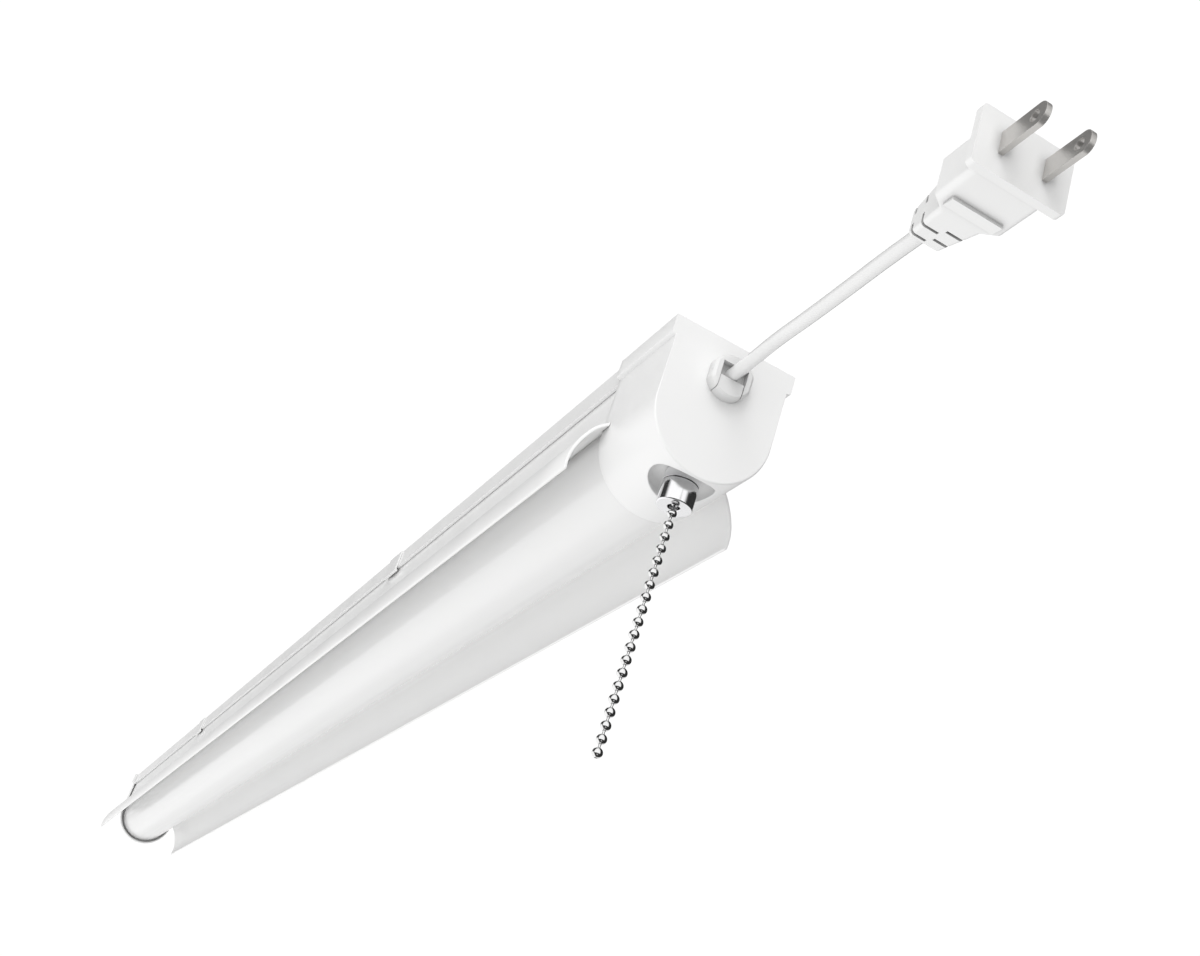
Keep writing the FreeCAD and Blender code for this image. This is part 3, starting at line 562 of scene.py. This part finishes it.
for node, (name, width, seg) in BEVEL.items():
    ob = soft_copy(node, name, width * MM, seg, angle=30.0 if node.startswith("bushing") else 50.0,
                   only=outside_slots if node == "plug_body" else None)
    place(ob, node, MAT[SLOT[node]])

# ----------------------------------------------------------- the cord-end cap
XN, XR = 457.2, 418.6
POCKET_X, POCKET_R, POCKET_Z, POCKET_F = 446.0, 10.3, -42.2, 3.4


def inset(pts, d):
    """Closed outline, run anticlockwise, moved inwards by d with mitred corners."""
    if d == 0:
        return list(pts)
    out = []
    m = len(pts)
    for i in range(m):
        p, a, b = Vector(pts[i]), Vector(pts[i - 1]), Vector(pts[(i + 1) % m])
        u, v = (p - a).normalized(), (b - p).normalized()
        nu, nv = Vector((-u.y, u.x)), Vector((-v.y, v.x))
        h = (nu + nv).normalized()
        k = max(0.35, h.dot(nu))
        q = p + h * (d / k)
        out.append((q.x, q.y))
    return out


def z_under(y):
    return -27.7 - math.sqrt(max(0.0, 400.0 - y * y))


def cap_loop(n_in=40, n_out=26, half=11.4):
    """Outline of the cord-end cap; returns it with the columns that cross the recess."""
    left = [(-21.3, 0.0), (-21.41, -0.05), (-21.45, -0.16), (-21.45, -6.2), (-21.41, -6.37), (-21.28, -6.48),
            (-20.12, -6.82), (-20.03, -6.88), (-20.0, -7.02), (-20.0, -13.0), (-20.0, -20.0)]
    alpha = math.asin(half / 20.0)
    arc = []
    for k in range(n_out):
        a = math.pi + (math.pi / 2 - alpha) * k / n_out
        arc.append(a)
    for k in range(n_in + 1):
        arc.append(1.5 * math.pi - alpha + 2 * alpha * k / n_in)
    for k in range(1, n_out + 1):
        arc.append(1.5 * math.pi + alpha + (math.pi / 2 - alpha) * k / n_out)
    lp = left + [(20.0 * math.cos(a), -27.7 + 20.0 * math.sin(a)) for a in arc]
    lp += [(-y, z) for y, z in reversed(left)]
    j0 = len(left) + n_out
    return lp, j0, j0 + n_in


def pocket_profile(u):
    """Point (radius, z) at length u along the recess, from the flat floor down its side."""
    quarter = POCKET_F * math.pi / 2
    if u <= quarter:
        t = u / POCKET_F
        return POCKET_R - POCKET_F + POCKET_F * math.sin(t), POCKET_Z - POCKET_F + POCKET_F * math.cos(t)
    return POCKET_R, POCKET_Z - POCKET_F - (u - quarter)


def near_cap_mesh():
    bm = bmesh.new()
    lp, j0, j1 = cap_loop()
    n = len(lp)
    xa, xb, steps = 434.8, 456.5, 40
    xs = [(XR, 0.2), (XR + 0.06, 0.06), (XR + 0.2, 0.0), (421.0, 0.0), (424.0, 0.0), (427.5, 0.0), (431.0, 0.0)]
    i0 = len(xs)
    xs += [(xa + (xb - xa) * k / steps, 0.0) for k in range(steps + 1)]
    i1 = i0 + steps
    rows = []
    for i, (x, d) in enumerate(xs):
        row = []
        for j, (y, z) in enumerate(inset(lp, d)):
            if i0 < i < i1 and j0 < j < j1:
                row.append(None)
            else:
                row.append(bm.verts.new((x * MM, y * MM, z * MM)))
        rows.append(row)
    # the front edge is rounded least along the top and most round the bottom
    mitre = [(q[0] - p[0], q[1] - p[1]) for p, q in zip(lp, inset(lp, 1.0))]
    rad = []
    for y, z in lp:
        t = max(0.0, min(1.0, (-16.0 - z) / 26.0))
        rad.append(0.05 + 0.63 * t * t * (3 - 2 * t))
    for k in range(0, 10):
        a = math.pi / 2 * min(k, 8) / 8
        row = []
        for (y, z), (my, mz), r in zip(lp, mitre, rad):
            d = r * (1 - math.cos(a)) + (0.12 if k == 9 else 0.0)
            row.append(bm.verts.new(((XN - r * (1 - math.sin(a))) * MM, (y + my * d) * MM, (z + mz * d) * MM)))
        rows.append(row)
    for i in range(len(rows) - 1):
        for j in range(n):
            q = (j + 1) % n
            if i0 <= i < i1 and j0 <= j < j1:
                continue
            bm.faces.new((rows[i][j], rows[i][q], rows[i + 1][q], rows[i + 1][j]))
    bm.faces.new(rows[0])
    bm.faces.new(list(reversed(rows[-1])))
    ring = [rows[i1][j] for j in range(j0, j1)] + [rows[i][j1] for i in range(i1, i0, -1)]
    ring += [rows[i0][j] for j in range(j1, j0, -1)] + [rows[i][j0] for i in range(i0, i1)]
    prof = []
    for v in ring:
        x, y = v.co.x / MM - POCKET_X, v.co.y / MM
        th, rb = math.atan2(y, x), math.hypot(x, y)
        c, s = math.cos(th), math.sin(th)
        lo, hi = 0.0, 12.0
        for _ in range(40):
            mid = (lo + hi) / 2
            r, z = pocket_profile(mid)
            if z > z_under(r * s):
                lo = mid
            else:
                hi = mid
        us = (lo + hi) / 2
        rc, zc = pocket_profile(us)
        e = 0.17 + 0.30 * (1 - max(0.0, c) ** 2)
        ra, za = pocket_profile(us - e)
        ro = rc + e
        col = []
        for k in range(1, 5):
            r = rb + (ro - rb) * k / 4
            col.append((r, z_under(r * s)))
        for k in range(1, 6):
            t = k / 6
            col.append(((1 - t) ** 2 * ro + 2 * t * (1 - t) * rc + t * t * ra,
                        (1 - t) ** 2 * z_under(ro * s) + 2 * t * (1 - t) * zc + t * t * za))
        for k in range(0, 15):
            col.append(pocket_profile((us - e) * (1 - k / 14)))
        col.append((5.6, POCKET_Z))
        prof.append([(POCKET_X + r * c, r * s, z) for r, z in col])
    old = ring
    m = len(ring)
    for k in range(len(prof[0])):
        new = [bm.verts.new((p[k][0] * MM, p[k][1] * MM, p[k][2] * MM)) for p in prof]
        for a in range(m):
            b = (a + 1) % m
            bm.faces.new((old[a], old[b], new[b], new[a]))
        old = new
    bm.faces.new(old)
    return from_bmesh("cord_end_cap", bm, 40.0)


def u_loop(half, r, top, n=64):
    lp = [(-half, top)]
    for k in range(n + 1):
        a = math.pi + math.pi * k / n
        lp.append((half * math.cos(a) if k in (0, n) else r * math.cos(a), -27.7 + r * math.sin(a)))
    return lp + [(half, top)]


def cyl_cutter(c, axis, r, h, flat=None, segs=96):
    """Round cutter, cut flat at both sides where flat is given."""
    b = bmesh.new()
    rings = []
    for t in (0, h):
        ring = []
        for k in range(segs):
            a = 2 * math.pi * k / segs
            p, q = r * math.cos(a), r * math.sin(a)
            if flat:
                p = max(-flat, min(flat, p))
            if axis == "Z":
                ring.append(b.verts.new(((c[0] + p) * MM, (c[1] + q) * MM, (c[2] + t) * MM)))
            else:
                ring.append(b.verts.new(((c[0] + t) * MM, (c[1] + p) * MM, (c[2] + q) * MM)))
        rings.append(ring)
    for k in range(segs):
        j = (k + 1) % segs
        b.faces.new((rings[0][k], rings[0][j], rings[1][j], rings[1][k]))
    b.faces.new(rings[0])
    b.faces.new(rings[1])
    bmesh.ops.remove_doubles(b, verts=b.verts, dist=1e-7)
    return from_bmesh("cutter", b)


near_cap = near_cap_mesh()
b = bmesh.new()
loft_x(b, [u_loop(19.2, 19.2, -1.5), u_loop(19.2, 19.2, -1.5), u_loop(18.5, 18.5, -1.5), u_loop(18.5, 18.5, -1.5)],
       [417.0, 424.2, 424.2001, 455.2])
hollow = from_bmesh("cutter", b)
cut(hollow, cyl_cutter((POCKET_X, 0, -52.0), "Z", 11.6, 11.4))
cut(near_cap, hollow)
cut(near_cap, cyl_cutter((POCKET_X, 0, -45.0), "Z", 4.8, 8.0))
cut(near_cap, cyl_cutter((450.0, 0, -13.2), "X", 6.3, 12.0, 5.7))
finish_mesh(near_cap.data, 40.0)
place(near_cap, "near_end_cap", MAT["cap_white"])

# the cover's edge is rolled in against the channel's side
for side, name in ((1, "cover_hem_right"), (-1, "cover_hem_left")):
    bm = bmesh.new()
    lp = [(18.22, -7.45), (18.22, -7.1), (18.55, -6.9), (18.55, -7.72), (18.42, -7.7), (18.28, -7.6)]
    loft_x(bm, [[(side * y, z) for y, z in lp]] * 2, [-451.4, 418.2])
    hem = from_bmesh(name, bm, 40.0)
    hem.data.materials.append(MAT["housing_white"])
    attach(hem, "housing")

# ------------------------------------------------------ nozzle and the chain
SWX = 446.0


def nozzle_profile():
    p = [(1.9, -52.3), (1.9, -53.8), (2.08, -54.0), (5.15, -54.0)]
    for k in range(1, 7):
        a = math.pi / 2 * k / 6
        p.append((5.15 + 0.45 * math.sin(a), -53.55 - 0.45 * math.cos(a)))
    p += [(5.6, -46.52), (5.55, -46.46), (5.2, -46.44), (5.2, -46.16), (5.55, -46.14), (5.6, -46.08), (5.6, -42.9),
          (5.55, -42.75), (5.42, -42.64), (5.3, -42.6), (4.65, -42.6), (4.65, -52.3), (1.9, -52.3)]
    return p


bm = bmesh.new()
prof = nozzle_profile()
lathe(bm, prof[:-1], (SWX, 0), 128)
ring = [v for v in bm.verts]
rings_n = len(prof) - 1
first = ring[:128]
last = ring[(rings_n - 1) * 128: rings_n * 128]
for k in range(128):
    j = (k + 1) % 128
    bm.faces.new((last[k], first[k], first[j], last[j]))
noz = from_bmesh("nozzle_nut", bm, 30.0)
place(noz, "switch_nozzle", MAT["chrome"])

# painted shade: a dark ring fills the groove round the nozzle's upper end, where the groove lies in shadow
bm = bmesh.new()
groove_shade_profile = [(5.1, -46.44), (5.44, -46.44), (5.5, -46.38), (5.5, -46.22), (5.44, -46.16), (5.1, -46.16)]
lathe(bm, groove_shade_profile, (SWX, 0), 96)
sv = list(bm.verts)
for k in range(96):
    j = (k + 1) % 96
    bm.faces.new((sv[5 * 96 + k], sv[k], sv[j], sv[5 * 96 + j]))
groove_shade = from_bmesh("nozzle_groove_shade", bm, 40.0)
groove_shade.data.materials.append(MAT["dark_plastic"])
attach(groove_shade, "housing")

R_BEAD = 1.575
PITCH = 4.026


def add_bead(bm, z, segs=48):
    """A rolled ball with small mouths where the wire goes in."""
    hole = 0.5
    a0 = math.asin(hole / R_BEAD)
    p = [(0.32, z + R_BEAD * math.cos(a0) - 0.35), (hole - 0.02, z + R_BEAD * math.cos(a0) - 0.12)]
    n = 26
    for k in range(n + 1):
        a = a0 + (math.pi - 2 * a0) * k / n
        p.append((R_BEAD * math.sin(a), z + R_BEAD * math.cos(a)))
    p += [(hole - 0.02, z - R_BEAD * math.cos(a0) + 0.12), (0.32, z - R_BEAD * math.cos(a0) + 0.35)]
    lathe(bm, p[0:1] and [(0.0, p[0][1])] + p + [(0.0, p[-1][1])], (SWX, 0), segs)


def add_wire(bm, za, zb, segs=16):
    """Short wire between two balls, necked in its middle."""
    zm = (za + zb) / 2
    p = [(0.0, za), (0.40, za), (0.42, za - 0.12), (0.36, zm + 0.15), (0.35, zm), (0.36, zm - 0.15), (0.42, zb + 0.12),
         (0.40, zb), (0.0, zb)]
    lathe(bm, p, (SWX, 0), segs)


def strand(name, node, zs, wires):
    b = bmesh.new()
    for z in zs:
        add_bead(b, z)
    for za, zb in wires:
        add_wire(b, za, zb)
    place(from_bmesh(name, b, 40.0), node, MAT["chain_metal"])


TOP = -56.0
GAP = R_BEAD * 0.93
inner = [TOP + 3 * PITCH, TOP + 2 * PITCH, TOP + PITCH]
strand("chain_inside", "bead_chain_inner", inner,
       [(-41.2, inner[0] + GAP), (inner[0] - GAP, inner[1] + GAP), (inner[1] - GAP, inner[2] + GAP),
        (inner[2] - GAP, TOP + R_BEAD - 0.02)])
strand("chain_first_ball", "chain_top_bead", [TOP], [])
ups = [TOP - PITCH * (i + 1) for i in range(9)]
MIDZ = TOP - PITCH * 10
strand("chain_upper", "bead_chain_upper", ups,
       [(TOP - R_BEAD + 0.02, ups[0] + GAP)] + [(a - GAP, b + GAP) for a, b in zip(ups[:-1], ups[1:])]
       + [(ups[-1] - GAP, MIDZ + R_BEAD - 0.02)])
strand("chain_middle_ball", "chain_middle_bead", [MIDZ], [])
lows = [MIDZ - PITCH * (i + 1) for i in range(9)]
strand("chain_lower", "bead_chain_lower", lows,
       [(MIDZ - R_BEAD + 0.02, lows[0] + GAP)] + [(a - GAP, b + GAP) for a, b in zip(lows[:-1], lows[1:])])

# ------------------------------------------------ what carries over from CAD
for name, ob in NODES.items():
    ob.data.materials.clear()
    ob.data.materials.append(MAT[SLOT[name]])

# ------------------------------------------------------- floor, light, world
me = bpy.data.meshes.new("floor")
me.from_pydata([(-9, -9, -2.4), (9, -9, -2.4), (9, 9, -2.4), (-9, 9, -2.4)], [], [(0, 1, 2, 3)])
floor = new_object("floor", me)
fm = Nodes("floor_pale")
fcol = fm.ramp(fm.noise(1.5, 3.0), [(0.3, (0.80, 0.80, 0.795)), (0.7, (0.83, 0.83, 0.825))])
fm.put(Base_Color=fcol, Roughness=fm.span(fm.noise(30.0), 0.6, 0.75))
me.materials.append(fm.mat)

# the object hangs well clear of the floor, which only shows
for way in ("visible_diffuse", "visible_glossy", "visible_transmission", "visible_shadow"):
    setattr(floor, way, False)

# soft light from all round, each entry a lobe: its direction, its strength and how tight it is
LOBES = [
    ((-0.5774, -0.5774, -0.5774), 0.46, 6), ((-0.7071, -0.7071, 0), 0.39, 6), ((-0.5774, -0.5774, 0.5774), 0.15, 6),
    ((-0.7071, 0, -0.7071), 0.62, 6), ((-1, 0, 0), 0.38, 6), ((-0.7071, 0, 0.7071), 0.06, 6),
    ((-0.5774, 0.5774, -0.5774), 0.54, 6), ((-0.7071, 0.7071, 0), 0.51, 6), ((-0.5774, 0.5774, 0.5774), 0.30, 6),
    ((0, -0.7071, -0.7071), 0.42, 6), ((0, -1, 0), 0.40, 6), ((0, -0.7071, 0.7071), 0.54, 6),
    ((0, 0, -1), 0.85, 6), ((0, 0, 1), 0.36, 6),
    ((0, 0.7071, -0.7071), 0.09, 6), ((0, 1, 0), 0.09, 6), ((0, 0.7071, 0.7071), 0.30, 6),
    ((0.5774, -0.5774, -0.5774), 0.44, 6), ((0.7071, -0.7071, 0), 0.60, 6), ((0.5774, -0.5774, 0.5774), 0.46, 6),
    ((0.7071, 0, -0.7071), 0.52, 6), ((1, 0, 0), 0.53, 6), ((0.7071, 0, 0.7071), 0.42, 6),
    ((0.5774, 0.5774, -0.5774), 0.04, 6), ((0.7071, 0.7071, 0), 0.03, 6), ((0.5774, 0.5774, 0.5774), 0.25, 6),
    ((0.60, -0.38, 0.70), 4.2, 30),
]
LIGHT = 1.03
world = bpy.data.worlds.new("studio")
scene.world = world
world.use_nodes = True
wt = world.node_tree
wt.nodes.clear()


def wnode(kind, *inputs, **props):
    n = wt.nodes.new(kind)
    for k, v in props.items():
        setattr(n, k, v)
    for i, v in enumerate(inputs):
        if hasattr(v, "is_linked"):
            wt.links.new(v, n.inputs[i])
        elif v is not None:
            n.inputs[i].default_value = v
    return n


def wmath(op, *inputs, clamp=False):
    return wnode("ShaderNodeMath", *inputs, operation=op, use_clamp=clamp).outputs[0]


way = wnode("ShaderNodeTexCoord").outputs["Generated"]


def towards(direction):
    return wnode("ShaderNodeVectorMath", way, tuple(Vector(direction).normalized()), operation="DOT_PRODUCT").outputs["Value"]


def lobe(direction, sharp, strength):
    e = wmath("EXPONENT", wmath("MULTIPLY_ADD", towards(direction), sharp, -sharp))
    return wmath("MULTIPLY", e, strength)


def edge(value, a, b):
    n = wnode("ShaderNodeMapRange", value, a, b, 0.0, 1.0, interpolation_type="SMOOTHSTEP")
    return n.outputs[0]


soft = None
for d, k, tight in LOBES:
    one = lobe(d, float(tight), k * LIGHT)
    soft = one if soft is None else wmath("ADD", soft, one)
# a dark flag low on the far side keeps the undersides that face it in shade
flag = edge(towards((0.25, 0.85, -0.45)), 0.7, 0.95)
soft = wmath("MULTIPLY", soft, wmath("MULTIPLY_ADD", flag, -0.5, 1.0))

# what polished metal reflects: a broad white screen ahead, a card low behind, dark room between them
xyz = wnode("ShaderNodeSeparateXYZ", way)
flat = wmath("SQRT", wmath("MAXIMUM", 1e-5, wmath("SUBTRACT", 1.0, wmath("MULTIPLY", xyz.outputs["Z"], xyz.outputs["Z"]))))
ahead = wmath("DIVIDE", wmath("ADD", wmath("MULTIPLY", xyz.outputs["X"], 0.891), wmath("MULTIPLY", xyz.outputs["Y"], -0.454)), flat)
screen = wmath("MULTIPLY", edge(xyz.outputs["Z"], -0.26, -0.16), edge(ahead, 0.28, 0.66))
card = edge(towards((-0.7035, -0.5025, -0.5025)), 0.62, 0.8)
under = wmath("MULTIPLY", edge(towards((-0.848, 0.272, -0.454)), 0.62, 0.8), 0.8)
spot = wmath("MAXIMUM", lobe((0.702, -0.191, -0.687), 60.0, 0.75), lobe((0.68, 0.05, -0.73), 90.0, 0.3))
seen = wmath("ADD", wmath("MULTIPLY", wmath("MAXIMUM", wmath("MAXIMUM", screen, card), under), 1.12), wmath("ADD", spot, 0.03))

path = wnode("ShaderNodeLightPath")
bg_soft = wnode("ShaderNodeBackground", (1, 1, 1, 1), soft)
bg_seen = wnode("ShaderNodeBackground", (1, 1, 1, 1), seen)
bg_back = wnode("ShaderNodeBackground", (1, 1, 1, 1), 1.05)
mix1 = wnode("ShaderNodeMixShader", path.outputs["Is Glossy Ray"], bg_soft.outputs[0], bg_seen.outputs[0])
mix2 = wnode("ShaderNodeMixShader", path.outputs["Is Camera Ray"], mix1.outputs[0], bg_back.outputs[0])
wnode("ShaderNodeOutputWorld", mix2.outputs[0])

scene.view_settings.view_transform = "Standard"
scene.view_settings.look = "None"
scene.view_settings.exposure = 0.0
scene.view_settings.gamma = 1.0
